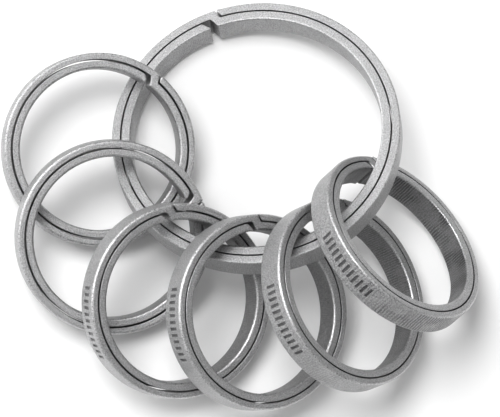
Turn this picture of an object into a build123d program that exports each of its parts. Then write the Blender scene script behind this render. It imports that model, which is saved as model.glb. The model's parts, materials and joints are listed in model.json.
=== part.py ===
"""A large split key ring with six small split key rings threaded on it, lying on a flat surface.

Every ring is one flat strip wound twice round in a single plane: an inner turn and an outer turn, side by
side, joined by a short step. The strip ends in two free ends, one on each side of the step. Each ring is
written as two solids, because one of its free ends springs out sideways to let a key on: the coil, and the
length of strip that moves. A ring's own frame has its centre at the origin, its axis along +Z and the
step at +X. The object's origin is the bottom centre of its box, so the table is the plane Z = 0.
"""
import os
from collections import namedtuple
from math import asin, cos, degrees, radians, sin, tan

from build123d import *

PLATE = 2.9             # every ring is cut from plate of this thickness
EDGE_RADIUS = 0.28      # tumbled roundness of a ring's long edges
STEP_OVERLAP = 0.2      # how far the tool paths run past the strip's walls
ROOT_CLEARANCE = 0.03   # between a free end and its coil, at the hinge line
WEDGE_EXTRA = 1.0       # degrees that the root's wedge is wider than the opening

# One size of ring: its outer and inner radius, the width of its outer turn and of the slot between turns, the
# run from the middle of the step to where the slot starts, the slants of the step's inner and outer sides, the
# gaps at the inner and outer ends of the strip, and the rounding of those ends' corners at the slot.
RingSize = namedtuple("RingSize", "outer inner outer_turn slot half_step inner_slant outer_slant inner_gap "
                                  "outer_gap inner_tip outer_tip")
LARGE = RingSize(outer=15.0, inner=13.05, outer_turn=0.88, slot=0.14, half_step=0.6, inner_slant=0.75,
                 outer_slant=0.4, inner_gap=0.9, outer_gap=0.15, inner_tip=0.35, outer_tip=0.2)
SMALL = RingSize(outer=10.0, inner=8.33, outer_turn=0.70, slot=0.12, half_step=0.6, inner_slant=0.7,
                 outer_slant=0.35, inner_gap=0.45, outer_gap=0.12, inner_tip=0.3, outer_tip=0.15)

# The free end that springs out of a ring: the inner or the outer end of the strip, the way it goes (1 towards
# the ring's +Z, -1 towards its -Z), and how many degrees of the ring it takes with it.
FreeEnd = namedtuple("FreeEnd", "turn way arc")
LARGE_END = FreeEnd(turn="outer", way=1, arc=90)
INNER_END = FreeEnd(turn="inner", way=1, arc=50)
OUTER_END = FreeEnd(turn="outer", way=-1, arc=55)

# How a ring lies on the table: the place of its centre, the lean of its axis from upright, the heading that
# the axis leans towards, the turn that sets where the step is, how far it is held off the table, and the free
# end that its neighbours leave room for.
Lie = namedtuple("Lie", "x y lean heading turn lift end")
LARGE_LIE = Lie(x=1.7, y=7.0, lean=15.0, heading=131.5, turn=108, lift=0, end=LARGE_END)
SMALL_LIES = [
    Lie(x=-14.7, y=5.7, lean=15.5, heading=-61.0, turn=54, lift=0, end=INNER_END),
    Lie(x=-13.2, y=-3.7, lean=19.0, heading=-66.5, turn=26, lift=0, end=INNER_END),
    Lie(x=-6.6, y=-10.6, lean=26.5, heading=-36.5, turn=102, lift=0.2, end=INNER_END),
    Lie(x=1.6, y=-11.9, lean=28.5, heading=-19.0, turn=99, lift=0.7, end=INNER_END),
    Lie(x=10.4, y=-10.1, lean=37.5, heading=12.0, turn=95, lift=0.3, end=OUTER_END),
    Lie(x=15.7, y=-4.8, lean=44.0, heading=36.0, turn=104, lift=0.3, end=OUTER_END),
]


def slot_radii(size):
    """The radii of the slot's two walls."""
    outer_wall = size.outer - size.outer_turn
    return outer_wall - size.slot, outer_wall


def slot_middle(size):
    """The radius of the middle of the slot, where runs along the strip are measured."""
    return sum(slot_radii(size)) / 2


def on_ring(size, radius, run):
    """The point at a radius, a run along the strip (anticlockwise) from the step."""
    angle = run / slot_middle(size)
    return radius * cos(angle), radius * sin(angle)


def band(size):
    """The ring before its slot is cut: a round band with rounded long edges."""
    profile = Rectangle(size.outer - size.inner, PLATE)
    profile = fillet(profile.vertices(), EDGE_RADIUS)
    centre = (size.outer + size.inner) / 2
    return revolve(Plane.XZ * Pos(centre, 0) * profile, Axis.Z, 360)


def channel(size):
    """The round part of the slot, from one end of the step all the way round to the other."""
    inner_wall, outer_wall = slot_radii(size)
    reach = 2 * size.outer
    step = Polygon((0, 0), on_ring(size, reach, -size.half_step), on_ring(size, reach, size.half_step),
                   align=None)
    return Circle(outer_wall) - Circle(inner_wall) - step


def inner_exit(size):
    """The gap between the step and the strip's inner end, from the slot to the hole."""
    inner_wall, outer_wall = slot_radii(size)
    low = size.inner - STEP_OVERLAP
    near = size.half_step - size.inner_slant * (outer_wall - low) / (inner_wall - size.inner)
    return Polygon(on_ring(size, outer_wall, size.half_step), on_ring(size, low, near),
                   on_ring(size, low, near + size.inner_gap),
                   on_ring(size, outer_wall, size.half_step + size.inner_gap), align=None)


def outer_exit(size):
    """The gap between the step and the strip's outer end, from the slot to the outside."""
    inner_wall, outer_wall = slot_radii(size)
    high = size.outer + STEP_OVERLAP
    near = -size.half_step + size.outer_slant * (high - inner_wall) / (size.outer - outer_wall)
    return Polygon(on_ring(size, inner_wall, -size.half_step), on_ring(size, high, near),
                   on_ring(size, high, near - size.outer_gap),
                   on_ring(size, inner_wall, -size.half_step - size.outer_gap), align=None)


def round_tips(size, strip):
    """The strip with the slot-side corner of each of its two ends rounded."""
    inner_wall, outer_wall = slot_radii(size)
    slant = size.inner_slant * size.slot / (inner_wall - size.inner)
    inner_corner = on_ring(size, inner_wall, size.half_step + size.inner_gap - slant)
    slant = size.outer_slant * size.slot / (size.outer - outer_wall)
    outer_corner = on_ring(size, outer_wall, -size.half_step - size.outer_gap + slant)
    for corner, radius in ((inner_corner, size.inner_tip), (outer_corner, size.outer_tip)):
        edge = strip.edges().filter_by(Axis.Z).sort_by_distance((*corner, 0))[0]
        strip = fillet(edge, radius)
    return strip


def tip_radius(size, end):
    """The middle of the strip in the free end."""
    inner_wall, outer_wall = slot_radii(size)
    if end.turn == "inner":
        return (size.inner + inner_wall) / 2
    return (outer_wall + size.outer) / 2


def opening_angle(size, end):
    """Degrees that a free end swings out: its tip then clears the face of the other turn."""
    return degrees(asin(PLATE / (tip_radius(size, end) * sin(radians(end.arc)))))


def root_side(end):
    """Which way round from the step the root is: anticlockwise for an inner end, clockwise for an outer."""
    return 1 if end.turn == "inner" else -1


def root_cut(size, end):
    """The cut that parts the free end from its coil: a slit, and a wedge on the side that it swings to."""
    if end.turn == "inner":
        start, stop = size.inner - STEP_OVERLAP, slot_middle(size)
    else:
        start, stop = slot_middle(size), size.outer + STEP_OVERLAP
    beyond = PLATE
    spread = beyond * tan(radians(opening_angle(size, end) + WEDGE_EXTRA))
    corners = [(-ROOT_CLEARANCE, -beyond), (-ROOT_CLEARANCE, beyond), (ROOT_CLEARANCE + spread, beyond),
               (ROOT_CLEARANCE, 0), (ROOT_CLEARANCE, -beyond)]
    side = root_side(end)
    wedge = Polygon(*[(-side * run, end.way * rise) for run, rise in corners], align=None)
    prism = extrude(Plane.YZ * wedge, stop - start, dir=(1, 0, 0))
    return Rot(0, 0, side * end.arc) * Pos(start, 0, 0) * prism


def split_ring(size, end):
    """A ring's coil and its free end, in the ring's own frame."""
    strip = band(size)
    for gap in (channel(size), inner_exit(size), outer_exit(size)):
        strip -= extrude(gap, PLATE, both=True)
    strip = round_tips(size, strip) - root_cut(size, end)
    free_end, coil = strip.solids().sort_by(SortBy.VOLUME)
    return coil, free_end


def lying(size, lie):
    """The place of a ring that leans on the table, standing on its lowest edge."""
    lean = radians(lie.lean)
    height = ((size.outer - EDGE_RADIUS) * sin(lean) + (PLATE / 2 - EDGE_RADIUS) * cos(lean)
              + EDGE_RADIUS + lie.lift)
    return (Pos(lie.x, lie.y, height) * Rot(0, 0, lie.heading) * Rot(0, lie.lean, 0)
            * Rot(0, 0, lie.turn - lie.heading))


def rings():
    """Each ring's name, size, free end and place."""
    listed = [("large_ring", LARGE, LARGE_LIE)]
    listed += [(f"small_ring_{number}", SMALL, lie) for number, lie in enumerate(SMALL_LIES, 1)]
    return [(name, size, lie.end, lying(size, lie)) for name, size, lie in listed]


def assemble():
    """Every node's solid, in the object's frame."""
    blanks = {key: split_ring(*key) for key in {(size, end) for name, size, end, place in rings()}}
    nodes = {}
    for name, size, end, place in rings():
        coil, free_end = blanks[size, end]
        nodes[name + "_coil"] = place * coil
        nodes[name + "_free_end"] = place * free_end
    box = Compound(list(nodes.values())).bounding_box()
    to_origin = Pos(-box.center().X, -box.center().Y, -box.min.Z)
    return {name: to_origin * solid for name, solid in nodes.items()}


os.makedirs("parts", exist_ok=True)
for node, solid in assemble().items():
    solid.label = node
    export_step(solid, f"parts/{node}.step")
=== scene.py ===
"""A large titanium split key ring with six small ones threaded on it, lying on a white table.

Each ring is one flat strip wound twice in one plane. Its mesh is swept from the strip's outline, with rounded
edges, and is made in two pieces: the coil, which rides on the ring's body, and the free end.
Lengths in the tables below are in millimetres; the meshes, the lights and the camera are in metres.
"""
import json
from collections import namedtuple

import bpy
import numpy as np
from mathutils import Matrix, Vector


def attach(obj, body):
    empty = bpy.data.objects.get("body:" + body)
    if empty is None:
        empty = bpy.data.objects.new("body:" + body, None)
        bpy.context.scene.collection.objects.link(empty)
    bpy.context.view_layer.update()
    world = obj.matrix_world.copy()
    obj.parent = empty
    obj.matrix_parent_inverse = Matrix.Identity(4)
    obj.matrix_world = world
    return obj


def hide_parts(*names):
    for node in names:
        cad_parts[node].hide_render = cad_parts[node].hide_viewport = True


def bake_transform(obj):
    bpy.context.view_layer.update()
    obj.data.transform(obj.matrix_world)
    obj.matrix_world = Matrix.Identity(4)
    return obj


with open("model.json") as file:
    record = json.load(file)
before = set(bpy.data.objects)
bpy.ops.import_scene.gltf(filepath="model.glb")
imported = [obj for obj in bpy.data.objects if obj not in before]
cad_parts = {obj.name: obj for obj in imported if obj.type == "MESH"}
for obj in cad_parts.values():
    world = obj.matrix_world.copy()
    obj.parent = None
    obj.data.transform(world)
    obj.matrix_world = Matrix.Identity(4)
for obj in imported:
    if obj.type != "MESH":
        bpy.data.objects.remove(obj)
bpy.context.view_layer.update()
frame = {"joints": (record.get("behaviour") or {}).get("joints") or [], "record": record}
RECORD = frame["record"]
MM = 0.001

PLATE = 2.9             # thickness of every ring
SLOT_EDGE = 0.07        # roundness of the edges along the slot
TIP_EDGE = 0.10         # the same, round a strip's ends
ROUND_STEPS = 5         # rows of points across a rounded edge
ARC_POINTS = 7          # points on the rounding of a strip's end
STATION = 2.0           # degrees between the strip's sections
STEP_STATION = 0.35     # degrees between them near the step
NEAR_STEP = 1.6         # how far along the strip counts as near the step
NOSE_MARGIN = 0.05      # from a strip's end to its first plain section
FAR = 20                # a point well along the strip, that a corner's side runs towards

# Radii, turn and slot widths, the step and its slants, and the gaps at the strip's two ends. Then the rounding of
# those ends' corners (inner end at the slot, both ends away from it, outer end at the slot), and of the edges.
Size = namedtuple("Size", "outer inner outer_turn slot half_step inner_slant outer_slant inner_gap outer_gap "
                          "inner_tip away_tip outer_tip edge")
LARGE = Size(outer=15.0, inner=13.05, outer_turn=0.88, slot=0.12, half_step=0.6, inner_slant=0.75,
             outer_slant=0.4, inner_gap=0.88, outer_gap=0.15, inner_tip=0.36, away_tip=0.12, outer_tip=0.15,
             edge=0.20)
SMALL = Size(outer=10.0, inner=8.33, outer_turn=0.70, slot=0.12, half_step=0.6, inner_slant=0.7,
             outer_slant=0.35, inner_gap=0.45, outer_gap=0.08, inner_tip=0.34, away_tip=0.12, outer_tip=0.12,
             edge=0.27)

# The small rings aren't quite alike. Rings 1 and 2 have wide slots and round tips, ring 3's slot is a little
# wide, and ring 6's inner end sits close to its step.
WIDE = SMALL._replace(slot=0.17, inner_tip=0.45, away_tip=0.22, outer_gap=0.04)
EASED = SMALL._replace(slot=0.15)
TIGHT = SMALL._replace(inner_tip=0.45, inner_gap=0.32)

# Each ring: its size, which end springs out, how many degrees of the ring that end takes with it, how deep the
# cutter's ridges across its walls are, how far apart, where along its outer turn they start, where the middle of
# the engraved bars is (0 for none), and how much painted shade darkens the wall of its hole against its faces.
Ring = namedtuple("Ring", "size end arc ridges pitch start bars bore_loss")
RINGS = {
    "large_ring": Ring(LARGE, "outer", 90, 0.25, 0.22, 0, 0, 0.20),
    "small_ring_1": Ring(WIDE, "inner", 50, 0.35, 0.24, 0, 0, 0.26),
    "small_ring_2": Ring(WIDE, "inner", 50, 0.35, 0.24, 0, 0, 0.28),
    "small_ring_3": Ring(EASED, "inner", 50, 0.30, 0.22, 20, 15.2, 0.30),
    "small_ring_4": Ring(SMALL, "inner", 50, 0.25, 0.22, 20, 15.0, 0.30),
    "small_ring_5": Ring(SMALL, "outer", 55, 0.70, 0.28, 22, 18.1, 0.38),
    "small_ring_6": Ring(TIGHT, "outer", 55, 1.00, 0.32, 16, 17.9, 0.38),
}

# The row of plain bars engraved in the outer wall of a ring.
BAR_COUNT = 12
BAR_PITCH = 0.62
BAR_WIDTH = 0.22
BAR_LENGTH = 1.1
BAR_SLOPE = 0.05        # width of a bar's sloping sides
BAR_DEPTH = 0.10

FACE_SHADE = 0.44       # how much light the blasted faces send back
RIM_PAINTED_SHADE = 0.02         # painted shade: how much darker the outer wall is than the faces
SLOT_PAINTED_SHADE = 0.50        # the same painted shade, for the walls of the slot
RIDGE_PAINTED_SHADE = 0.60       # the same painted shade, for the bottoms between ridges
BAR_LOSS = 0.60         # how much darker the bottoms of the engraved bars are than the faces
GRAIN_SCALE = 6.2       # grains to a millimetre, roughly
SPECKLE_SCALE = 9.0     # the same, for a finer speckle
CLOUD_SCALE = 0.6       # the same, for broad patches
PATCH_SCALE = 0.35      # the same, for the patches where ridges show
WOBBLE_SCALE = 0.9      # the same, for what makes the ridges uneven
WOBBLE = 5.0            # radians that a ridge strays by, at most
GRAIN_TONE = 0.25       # how much the blasted grain lightens and darkens the metal
SPECKLE_TONE = 0.20     # the same, for the finer speckle
CLOUD_TONE = 0.05       # the same, for broad patches
EDGE_HIGHLIGHT_TONE = 0.25        # painted highlight: how much brighter the rounded edges are
HOLE_HIGHLIGHT_TONE = 0.30   # more painted highlight, round the hole
GRAIN_RELIEF = 0.00004  # metres of height that the grain's bump stands for
BUMP_STRENGTH = 0.8
RIDGE_RELIEF = 2.2      # how much deeper the ridges are than the grain
BLUE_TINT = 1.01
ROUGHNESS = 0.42        # of the faces
EDGE_POLISH = 0.12      # how much smoother the tumbled edges are

TABLE_HALF = 1.5
KEY_PLACE, KEY_WIDTH, KEY_POWER = (-0.17, 0.12, 0.58), 0.36, 2.9
SIDE_PLACE, SIDE_WIDTH, SIDE_POWER = (-0.55, 0.22, 0.20), 0.35, 1.3
ROOM_LIGHT_FROM = (-0.75, 0.40, 0.53)   # the bright side of the room
ROOM_DIM, ROOM_BRIGHT = 0.32, 0.62

LENS = 299.0                            # millimetres
SENSOR = 36                             # millimetres
CAMERA_DISTANCE = 0.430
CAMERA_AIM = (0.00112, -0.00018, 0.00347)
CAMERA_RIGHT = (0.9978, 0.0, 0.0661)
CAMERA_UP = (-0.0159, 0.9706, 0.2404)


# ---------------------------------------------------------------- places

def root_side(ring):
    """Which way round from the step the free end's root is."""
    return 1 if ring.end == "inner" else -1


def ring_place(name, ring):
    """The ring's own frame: centre, axis along Z, and the step along X."""
    mount = next(m for m in RECORD["mounts"] if m["name"] == name + "_seat")
    joint = next(j for j in frame["joints"] if j["name"] == name + "_opening")
    centre = Vector(mount["pos_m"])
    axis = Vector(mount["axis"]).normalized()
    root = Vector(joint["pos_m"]) - centre
    root = (root - root.project(axis)).normalized()
    turn = Matrix.Rotation(-root_side(ring) * np.radians(ring.arc), 3, axis)
    step = turn @ root
    side = axis.cross(step)
    place = Matrix((step, side, axis)).transposed().to_4x4()
    place.translation = centre
    return place


# ---------------------------------------------------------------- the strip's outline

def smooth(value):
    """An S-shaped rise from 0 to 1."""
    t = np.clip(value, 0, 1)
    return t * t * (3 - 2 * t)


def bar_middles(middle):
    """Runs along the strip of the engraved bars' own middles, from that of the whole row."""
    return middle + BAR_PITCH * (np.arange(BAR_COUNT) - (BAR_COUNT - 1) / 2)


class Strip:
    """The radii and edge rounding of a strip all the way along it, by the angle wound from the step."""

    def __init__(self, size, bars=0):
        self.size = size
        self.bars = bars
        self.wall_out = size.outer - size.outer_turn
        self.wall_in = self.wall_out - size.slot
        self.middle = (self.wall_in + self.wall_out) / 2

    def run(self, angle):
        """Millimetres along the strip from the middle of the step."""
        return (angle - 2 * np.pi) * self.middle

    def hole_side(self, angle):
        """Radius and rounding of the edge nearer the hole."""
        size = self.size
        start = size.half_step - size.inner_slant
        part = smooth((self.run(angle) - start) / size.inner_slant)
        return size.inner + (self.wall_out - size.inner) * part, size.edge + (SLOT_EDGE - size.edge) * part

    def outer_side(self, angle):
        """Radius and rounding of the edge nearer the outside."""
        size = self.size
        part = smooth((self.run(angle) + size.half_step) / size.outer_slant)
        return self.wall_in + (size.outer - self.wall_in) * part, SLOT_EDGE + (size.edge - SLOT_EDGE) * part

    def stations(self, first, last):
        """Angles of the sections, closer together near the step."""
        angles = [first]
        while angles[-1] < last:
            near = abs(self.run(angles[-1])) < NEAR_STEP
            angles.append(angles[-1] + np.radians(STEP_STATION if near else STATION))
        angles[-1] = last
        if angles[-1] - angles[-2] < np.radians(STEP_STATION) / 2:
            angles.pop(-2)
        return self.with_bars(np.array(angles))

    def with_bars(self, angles):
        """The sections, moved to the sides of the engraved bars where there are bars."""
        if not self.bars:
            return angles
        half = BAR_WIDTH / 2
        offsets = np.array([-half - BAR_SLOPE, -half, half, half + BAR_SLOPE])
        runs = (bar_middles(self.bars)[:, None] + offsets).ravel()
        sides = runs / self.middle + 2 * np.pi
        if sides[0] < angles[0] or sides[-1] > angles[-1]:
            return angles
        margin = BAR_SLOPE / self.middle
        clear = (angles < sides[0] - margin) | (angles > sides[-1] + margin)
        return np.sort(np.concatenate([angles[clear], sides]))

    def bar_depth(self, runs, height):
        """How deep the engraved bars are at each run along the strip, at one height on its outer wall."""
        if not self.bars:
            return np.zeros(len(runs))
        off_middle = np.abs(runs[:, None] - bar_middles(self.bars)).min(1)
        narrow = np.clip((BAR_WIDTH / 2 + BAR_SLOPE - off_middle) / BAR_SLOPE, 0, 1)
        short = np.clip((BAR_LENGTH / 2 + BAR_SLOPE - abs(height)) / BAR_SLOPE, 0, 1)
        return BAR_DEPTH * narrow * short

    def points(self, runs, radii, wound):
        """Points in the ring's plane, from runs along the strip and radii."""
        angles = np.asarray(runs) / self.middle + wound
        return np.stack([np.asarray(radii) * np.cos(angles), np.asarray(radii) * np.sin(angles)], -1)


def rounded_corner(before, corner, after, radius):
    """Points on an arc that rounds a corner."""
    before, corner, after = np.array(before), np.array(corner), np.array(after)
    back = (before - corner) / np.linalg.norm(before - corner)
    ahead = (after - corner) / np.linalg.norm(after - corner)
    half = np.arccos(np.clip(back @ ahead, -1, 1)) / 2
    middle = (back + ahead) / np.linalg.norm(back + ahead)
    centre = corner + middle * radius / np.sin(half)
    start = corner + back * radius / np.tan(half) - centre
    stop = corner + ahead * radius / np.tan(half) - centre
    blend = np.linspace(0, 1, ARC_POINTS)[:, None]
    arc = start * (1 - blend) + stop * blend
    arc *= radius / np.linalg.norm(arc, axis=1)[:, None]
    return centre + arc


def inner_nose(strip):
    """The strip's inner end, from its hole side round to its slot side, as runs and radii."""
    size = strip.size
    slot_corner = (size.half_step + size.inner_gap, strip.wall_in)
    hole_corner = (slot_corner[0] - size.inner_slant, size.inner)
    hole = rounded_corner((FAR, size.inner), hole_corner, slot_corner, size.away_tip)
    slot = rounded_corner(hole_corner, slot_corner, (FAR, strip.wall_in), size.inner_tip)
    return np.concatenate([hole, slot])


def outer_nose(strip):
    """The strip's outer end, from its outer side round to its slot side, as runs and radii."""
    size = strip.size
    slot_corner = (-size.half_step - size.outer_gap, strip.wall_out)
    outer_corner = (slot_corner[0] + size.outer_slant, size.outer)
    outer = rounded_corner((-FAR, size.outer), outer_corner, slot_corner, size.away_tip)
    slot = rounded_corner(outer_corner, slot_corner, (-FAR, strip.wall_out), size.outer_tip)
    return np.concatenate([outer, slot])


def strip_ends(strip):
    """The angles between which the strip has plain sections."""
    first = (inner_nose(strip)[:, 0].max() + NOSE_MARGIN) / strip.middle
    last = (outer_nose(strip)[:, 0].min() - NOSE_MARGIN) / strip.middle + 4 * np.pi
    return first, last


# ---------------------------------------------------------------- meshes

# A loop round a length of strip: its points, the directions into the metal, the edges' roundings and the runs
# along the strip; how many points its outer side has, where its hole side starts, and whether its ends are tips.
Outline = namedtuple("Outline", "points inward roundings along count hole_start starts_at_tip ends_at_tip")


def inward_directions(points):
    """Unit vectors that point into the metal, square to the loop at each point."""
    ahead = np.roll(points, -1, 0) - points
    behind = points - np.roll(points, 1, 0)
    ahead /= np.linalg.norm(ahead, axis=1)[:, None]
    behind /= np.linalg.norm(behind, axis=1)[:, None]
    tangent = ahead + behind
    inward = np.stack([-tangent[:, 1], tangent[:, 0]], -1)
    return inward / np.linalg.norm(inward, axis=1)[:, None]


def outline(strip, first, last):
    """The closed loop round a length of strip: outer side, end, hole side, end."""
    starts_at_tip, ends_at_tip = (np.isclose(a, b) for a, b in zip((first, last), strip_ends(strip)))
    angles = strip.stations(first, last)
    radial = np.stack([np.cos(angles), np.sin(angles)], -1)
    outer_radius, outer_round = strip.outer_side(angles)
    hole_radius, hole_round = strip.hole_side(angles)
    sides = [radial * outer_radius[:, None], (radial * hole_radius[:, None])[::-1]]
    rounds = [outer_round, hole_round[::-1]]
    runs = [strip.run(angles), strip.run(angles)[::-1]]
    points, roundings, along = [], [], []
    noses = [(ends_at_tip, outer_nose(strip), 4 * np.pi), (starts_at_tip, inner_nose(strip), 0)]
    for side in (0, 1):
        points.append(sides[side])
        roundings.append(rounds[side])
        along.append(runs[side])
        at_tip, nose, wound = noses[side]
        if at_tip:
            points.append(strip.points(nose[:, 0], nose[:, 1], wound))
            roundings.append(np.full(len(nose), TIP_EDGE))
            along.append(strip.run(nose[:, 0] / strip.middle + wound))
    points, roundings, along = (np.concatenate(part) for part in (points, roundings, along))
    inward = inward_directions(points)
    count = len(angles)
    hole_start = count + (len(noses[0][1]) if ends_at_tip else 0)
    if not ends_at_tip:
        inward[count - 1], inward[hole_start] = -radial[-1], radial[-1]
    if not starts_at_tip:
        inward[0], inward[hole_start + count - 1] = -radial[0], radial[0]
    return Outline(points, inward, roundings, along, count, hole_start, starts_at_tip, ends_at_tip)


def levels(strip):
    """Rows of the side, bottom to top: share of rounding inset, height sign and share, angle, own height."""
    quarter = np.linspace(0, np.pi / 2, ROUND_STEPS)
    below = [(1 - np.sin(t), -1, 1 - np.cos(t), t, 0.0) for t in quarter]
    above = [(inset, 1, drop, t, 0.0) for inset, sign, drop, t, height in reversed(below)]
    half = BAR_LENGTH / 2
    ends = (-half - BAR_SLOPE, -half, half, half + BAR_SLOPE) if strip.bars else ()
    return below + [(0, 0, 0, np.pi / 2, height) for height in ends] + above


# The points of a strip's side, level by level: their places and normals, how near the middle of a rounded edge
# they are, how much they face sideways, and how deep the bars are there.
Side = namedtuple("Side", "flat normal edge wall engraved")


def side_points(strip, loop):
    """The side of a strip, from its loop and its levels."""
    rows = levels(strip)
    size, depth = len(loop.points), len(rows)
    flat = np.zeros((size, depth, 3))
    normal = np.zeros((size, depth, 3))
    edge = np.zeros((size, depth))
    wall = np.zeros((size, depth))
    engraved = np.zeros((size, depth))
    for j, (inset, sign, drop, angle, height) in enumerate(rows):
        flat[:, j, 2] = sign * (PLATE / 2 - loop.roundings * drop) + height
        if sign == 0:
            engraved[:loop.count, j] = strip.bar_depth(loop.along[:loop.count], height)
        inset_by = loop.roundings * inset + engraved[:, j]
        flat[:, j, :2] = loop.points + loop.inward * inset_by[:, None]
        normal[:, j, :2] = -loop.inward * np.sin(angle)
        normal[:, j, 2] = sign * np.cos(angle)
        edge[:, j] = np.sin(2 * angle)
        wall[:, j] = np.sin(angle)
    return Side(flat, normal, edge, wall, engraved)


def side_faces(loop, side):
    """The faces of a strip's side, and whether each is flat: a cut end, or the slope of a bar."""
    size, depth = side.edge.shape
    faces, flat = [], []
    for i in range(size):
        after = (i + 1) % size
        at_cut = (not loop.ends_at_tip and i == loop.count - 1) or (not loop.starts_at_tip and after == 0)
        for j in range(depth - 1):
            faces.append((i * depth + j, after * depth + j, after * depth + j + 1, i * depth + j + 1))
            sloping = np.ptp(side.engraved[[i, after], j:j + 2]) > BAR_DEPTH / 10
            flat.append(at_cut or sloping)
    return faces, flat


def cap_faces(loop, side):
    """The faces of a strip's top and bottom."""
    size, depth = side.edge.shape
    hole_end = loop.hole_start + loop.count - 1
    rings = [(i, i + 1, hole_end - i - 1, hole_end - i) for i in range(loop.count - 1)]
    if loop.ends_at_tip:
        rings.append(range(loop.count - 1, loop.hole_start + 1))
    if loop.starts_at_tip:
        rings.append([*range(hole_end, size), 0])
    faces = []
    for ring in rings:
        faces.append(tuple(k * depth + depth - 1 for k in ring))
        faces.append(tuple(k * depth for k in reversed(ring)))
    return faces


def strip_mesh(name, strip, first, last, place):
    """A closed mesh of a length of strip, in the row frame, with exact normals and its own coordinates."""
    loop = outline(strip, first, last)
    side = side_points(strip, loop)
    faces, cut = side_faces(loop, side)
    caps = cap_faces(loop, side)
    faces += caps
    cut += [False] * len(caps)

    mesh = bpy.data.meshes.new(name)
    shape = side.flat.reshape(-1, 3)
    mesh.from_pydata([tuple(place @ Vector(p * MM)) for p in shape], [], faces)
    mesh.polygons.foreach_set("use_smooth", [not at_cut for at_cut in cut])
    turn = np.array(place.to_3x3())
    turned = side.normal.reshape(-1, 3) @ turn.T
    corner_normals = []
    for polygon, at_cut in zip(mesh.polygons, cut):
        for vertex in polygon.vertices:
            corner_normals.append(tuple(polygon.normal) if at_cut else tuple(turned[vertex]))
    mesh.normals_split_custom_set(corner_normals)
    radius = np.linalg.norm(shape[:, :2], axis=1)
    coordinates = np.stack([np.repeat(loop.along, side.edge.shape[1]), radius, shape[:, 2]], -1)
    mesh.attributes.new("strip", "FLOAT_VECTOR", "POINT").data.foreach_set("vector", coordinates.ravel())
    mesh.attributes.new("edge", "FLOAT", "POINT").data.foreach_set("value", side.edge.ravel())
    mesh.attributes.new("wall", "FLOAT", "POINT").data.foreach_set("value", side.wall.ravel())
    piece = bpy.data.objects.new(name, mesh)
    bpy.context.scene.collection.objects.link(piece)
    return piece


# ---------------------------------------------------------------- titanium

class Graph:
    """Short calls for adding nodes to one material."""

    def __init__(self, material):
        material.use_nodes = True
        self.tree = material.node_tree
        self.tree.nodes.clear()

    def node(self, kind, inputs=(), **settings):
        made = self.tree.nodes.new(kind)
        for key, value in settings.items():
            setattr(made, key, value)
        for key, value in dict(inputs).items():
            if hasattr(value, "is_output"):
                self.tree.links.new(value, made.inputs[key])
            else:
                made.inputs[key].default_value = value
        return made

    def math(self, operation, a, b=0.0, c=0.0, clamp=False):
        made = self.node("ShaderNodeMath", operation=operation, use_clamp=clamp)
        for k, value in enumerate((a, b, c)):
            if hasattr(value, "is_output"):
                self.tree.links.new(value, made.inputs[k])
            else:
                made.inputs[k].default_value = value
        return made.outputs[0]

    def noise(self, vector, scale, detail=2.0, roughness=0.5):
        made = self.node("ShaderNodeTexNoise", {"Vector": vector, "Scale": scale, "Detail": detail,
                                                "Roughness": roughness})
        return made.outputs["Fac"]

    def ramp(self, value, low, high, bottom=0.0, top=1.0):
        made = self.node("ShaderNodeMapRange", {"Value": value, "From Min": low, "From Max": high,
                                                "To Min": bottom, "To Max": top})
        return made.outputs["Result"]


def bars(g, along, across, ring):
    """Where the engraved bars are, for their darker tone: 1 in a bar, 0 elsewhere."""
    first = ring.bars - BAR_PITCH * BAR_COUNT / 2
    row = g.math("DIVIDE", g.math("SUBTRACT", along, first), BAR_PITCH)
    inside = g.math("MULTIPLY", g.math("GREATER_THAN", row, 0.0), g.math("LESS_THAN", row, float(BAR_COUNT)))
    off_middle = g.math("ABSOLUTE", g.math("SUBTRACT", g.math("FRACT", row), 0.5))
    narrow = g.ramp(off_middle, BAR_WIDTH / BAR_PITCH / 2, BAR_WIDTH / BAR_PITCH / 2 + 0.08, 1.0, 0.0)
    short = g.ramp(g.math("ABSOLUTE", across), BAR_LENGTH / 2, BAR_LENGTH / 2 + 0.05, 1.0, 0.0)
    return g.math("MULTIPLY", inside, g.math("MULTIPLY", narrow, short))


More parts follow.
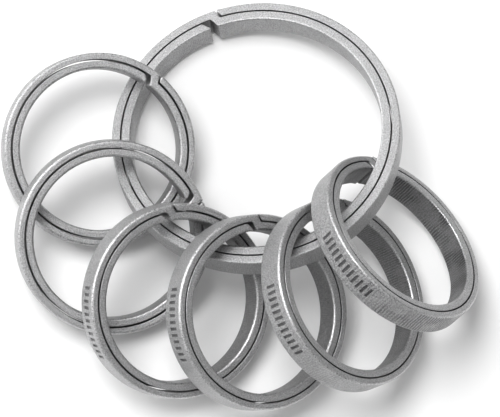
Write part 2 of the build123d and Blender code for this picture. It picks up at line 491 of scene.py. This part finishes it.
def titanium(name, ring, seed):
    """Bead-blasted titanium: a fine grain, painted highlights along the rounded edges, the cutter's ridges across
    the walls, and painted shade on the walls of the hole, the slot and the outside, and between the ridges.

    The seed moves the grain, so that no two rings have the same.
    """
    size = ring.size
    material = bpy.data.materials.new(name)
    g = Graph(material)
    strip = g.node("ShaderNodeAttribute", attribute_name="strip").outputs["Vector"]
    edge = g.node("ShaderNodeAttribute", attribute_name="edge").outputs["Fac"]
    wall = g.node("ShaderNodeAttribute", attribute_name="wall").outputs["Fac"]
    parts = g.node("ShaderNodeSeparateXYZ", {0: strip}).outputs
    along, radius, across = parts[0], parts[1], parts[2]
    place = g.node("ShaderNodeVectorMath", {0: strip, 1: (seed * 37.0, seed * 11.0, seed * 5.0)},
                   operation="ADD").outputs[0]
    grain = g.ramp(g.noise(place, GRAIN_SCALE, 3.0, 0.7), 0.37, 0.63, -1.0, 1.0)
    speckle = g.ramp(g.noise(place, SPECKLE_SCALE, 2.0, 0.5), 0.38, 0.62, -1.0, 1.0)
    cloud = g.ramp(g.noise(place, CLOUD_SCALE, 3.0, 0.5), 0.35, 0.65, -1.0, 1.0)

    in_hole = g.ramp(radius, size.inner + 0.15, size.inner + 0.35, 1.0, 0.0)
    outside = g.ramp(radius, size.outer - 0.35, size.outer - 0.15, 0.0, 1.0)
    from_slot = g.math("ABSOLUTE", g.math("SUBTRACT", radius, Strip(size).middle))
    # Painted shade on the walls of the slot.
    in_slot = g.math("MULTIPLY", wall, g.ramp(from_slot, size.slot + 0.05, size.slot + 0.45, 1.0, 0.0))
    # Painted shade on the wall of the hole.
    bore = g.math("MULTIPLY", wall, in_hole)
    rim = g.math("MULTIPLY", wall, outside)

    wobble = g.noise(place, WOBBLE_SCALE)
    phase = g.math("MULTIPLY_ADD", along, 2 * np.pi / ring.pitch, g.math("MULTIPLY", wobble, WOBBLE))
    wave = g.math("MULTIPLY_ADD", g.math("SINE", phase), 0.5, 0.5)
    patches = g.ramp(g.noise(place, PATCH_SCALE), 0.42, 0.58, 0.25, 1.0)
    past_step = g.ramp(along, -1.0, 1.0)
    before_start = g.ramp(along, ring.start, ring.start + 3.0, 1.0, 0.0)
    smooth_part = g.math("MULTIPLY", past_step, before_start)
    patches = g.math("MULTIPLY", patches, g.math("SUBTRACT", 1.0, smooth_part))
    ridges = g.math("MULTIPLY", g.math("MULTIPLY", wave, patches),
                    g.math("MULTIPLY", g.math("POWER", wall, 6.0), ring.ridges))
    # Painted shade darkens the hole's wall, the outer wall, the slot's walls and the bottoms between ridges; the
    # engraved bars' darker tone is their own.
    painted_shades_and_bar_tone = [(bore, ring.bore_loss), (rim, RIM_PAINTED_SHADE), (in_slot, SLOT_PAINTED_SHADE), (ridges, RIDGE_PAINTED_SHADE)]
    if ring.bars:
        painted_shades_and_bar_tone.append((g.math("MULTIPLY", bars(g, along, across, ring), rim), BAR_LOSS))
    height = g.math("MULTIPLY", grain, g.math("MULTIPLY_ADD", rim, 0.6, 0.4))
    height = g.math("MULTIPLY", height, g.math("MULTIPLY_ADD", edge, -0.8, 1.0))
    height = g.math("MULTIPLY_ADD", speckle, 0.15, height)
    height = g.math("ADD", height, g.math("MULTIPLY", ridges, -RIDGE_RELIEF))
    relief = {"Strength": BUMP_STRENGTH, "Distance": GRAIN_RELIEF, "Height": height}
    bump = g.node("ShaderNodeBump", relief).outputs[0]

    tone = g.math("MULTIPLY_ADD", grain, GRAIN_TONE, 1.0)
    tone = g.math("MULTIPLY_ADD", speckle, SPECKLE_TONE, tone)
    tone = g.math("MULTIPLY_ADD", cloud, CLOUD_TONE, tone)
    # Painted highlight: lighter along the rounded edges, more so round the hole.
    edge_highlight = g.math("POWER", edge, 2.0)
    tone = g.math("MULTIPLY_ADD", edge_highlight, g.math("MULTIPLY_ADD", in_hole, HOLE_HIGHLIGHT_TONE, EDGE_HIGHLIGHT_TONE), tone)
    for share, loss in painted_shades_and_bar_tone:
        tone = g.math("MULTIPLY", tone, g.math("MULTIPLY_ADD", share, -loss, 1.0))
    shade = g.math("MULTIPLY", tone, FACE_SHADE)
    blue = g.math("MULTIPLY", shade, BLUE_TINT)
    colour = g.node("ShaderNodeCombineColor", {"Red": shade, "Green": shade, "Blue": blue})
    rough = g.math("MULTIPLY_ADD", edge, -EDGE_POLISH, g.math("MULTIPLY_ADD", grain, 0.05, ROUGHNESS))
    shader = g.node("ShaderNodeBsdfPrincipled", {"Base Color": colour.outputs[0], "Roughness": rough,
                                                 "Metallic": 1.0, "Normal": bump})
    g.node("ShaderNodeOutputMaterial", {"Surface": shader.outputs[0]})
    return material


# ---------------------------------------------------------------- rings

def bend(ring, strip):
    """The points between which a free end bends, in the ring's own frame: its root, and one beside its tip."""
    edge_in = ring.size.inner if ring.end == "inner" else strip.wall_out
    edge_out = strip.wall_in if ring.end == "inner" else ring.size.outer
    radius = (edge_in + edge_out) / 2 * MM
    arc = np.radians(ring.arc)
    side = root_side(ring)
    root = Vector((radius * np.cos(arc), side * radius * np.sin(arc), 0))
    lever = Vector((side * np.sin(arc), -np.cos(arc), 0)) * side * radius * np.sin(arc)
    return root, root + lever


def build_ring(name, ring, seed):
    """Both pieces of a ring; the coil rides on the ring's body."""
    strip = Strip(ring.size, ring.bars)
    place = ring_place(name, ring)
    first, last = strip_ends(strip)
    arc = np.radians(ring.arc)
    cut = arc if ring.end == "inner" else 4 * np.pi - arc
    spans = {"free_end": (first, cut), "coil": (cut, last)}
    if ring.end == "outer":
        spans = {"free_end": (cut, last), "coil": (first, cut)}
    material = titanium(name + "_titanium", ring, seed)
    for node, (start, stop) in spans.items():
        piece = strip_mesh(f"{name}_{node}_strip", strip, start, stop, place)
        piece.data.materials.append(material)
        if node == "coil":
            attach(piece, name)
        else:
            start, end = bend(ring, strip)
            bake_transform(piece)
        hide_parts(f"{name}_{node}")


# ---------------------------------------------------------------- table, light and camera

def plain_material(name, colour, roughness):
    material = bpy.data.materials.new(name)
    g = Graph(material)
    shader = g.node("ShaderNodeBsdfPrincipled", {"Base Color": colour, "Roughness": roughness})
    g.node("ShaderNodeOutputMaterial", {"Surface": shader.outputs[0]})
    return material


def table():
    """A wide white table under the rings."""
    mesh = bpy.data.meshes.new("table")
    corners = [(x * TABLE_HALF, y * TABLE_HALF, 0) for x, y in ((-1, -1), (1, -1), (1, 1), (-1, 1))]
    mesh.from_pydata(corners, [], [(0, 1, 2, 3)])
    floor = bpy.data.objects.new("table", mesh)
    bpy.context.scene.collection.objects.link(floor)
    mesh.materials.append(plain_material("table_white", (0.95, 0.95, 0.95, 1), 0.9))


def area_light(name, position, width, power):
    """A soft round light that faces the rings."""
    lamp = bpy.data.lights.new(name, "AREA")
    lamp.shape = "DISK"
    lamp.size = width
    lamp.energy = power
    made = bpy.data.objects.new(name, lamp)
    made.location = position
    made.rotation_euler = (-Vector(position)).to_track_quat("-Z", "Y").to_euler()
    bpy.context.scene.collection.objects.link(made)


def lights():
    """A key lamp high up and a lower one on the left, in a room brightest up and behind on that side."""
    area_light("key", KEY_PLACE, KEY_WIDTH, KEY_POWER)
    area_light("side", SIDE_PLACE, SIDE_WIDTH, SIDE_POWER)
    world = bpy.data.worlds.new("studio")
    g = Graph(world)
    direction = g.node("ShaderNodeTexCoord").outputs["Generated"]
    side = g.node("ShaderNodeVectorMath", {0: direction, 1: ROOM_LIGHT_FROM}, operation="DOT_PRODUCT")
    strength = g.ramp(side.outputs["Value"], -0.6, 0.9, ROOM_DIM, ROOM_BRIGHT)
    room = g.node("ShaderNodeBackground", {"Color": (1, 1, 1, 1), "Strength": strength})
    g.node("ShaderNodeOutputWorld", {"Surface": room.outputs[0]})
    bpy.context.scene.world = world


def camera():
    """A long lens from the front and high above, rolled a little."""
    lens = bpy.data.cameras.new("camera")
    lens.lens = LENS
    lens.sensor_width = SENSOR
    made = bpy.data.objects.new("camera", lens)
    right = Vector(CAMERA_RIGHT)
    back = right.cross(Vector(CAMERA_UP)).normalized()
    up = back.cross(right).normalized()
    turn = Matrix((right.normalized(), up, back)).transposed().to_4x4()
    turn.translation = Vector(CAMERA_AIM) + back * CAMERA_DISTANCE
    made.matrix_world = turn
    bpy.context.scene.collection.objects.link(made)
    bpy.context.scene.camera = made


for number, (ring_name, ring) in enumerate(RINGS.items(), 1):
    build_ring(ring_name, ring, number)
table()
lights()
camera()
bpy.context.scene.view_settings.view_transform = "Standard"
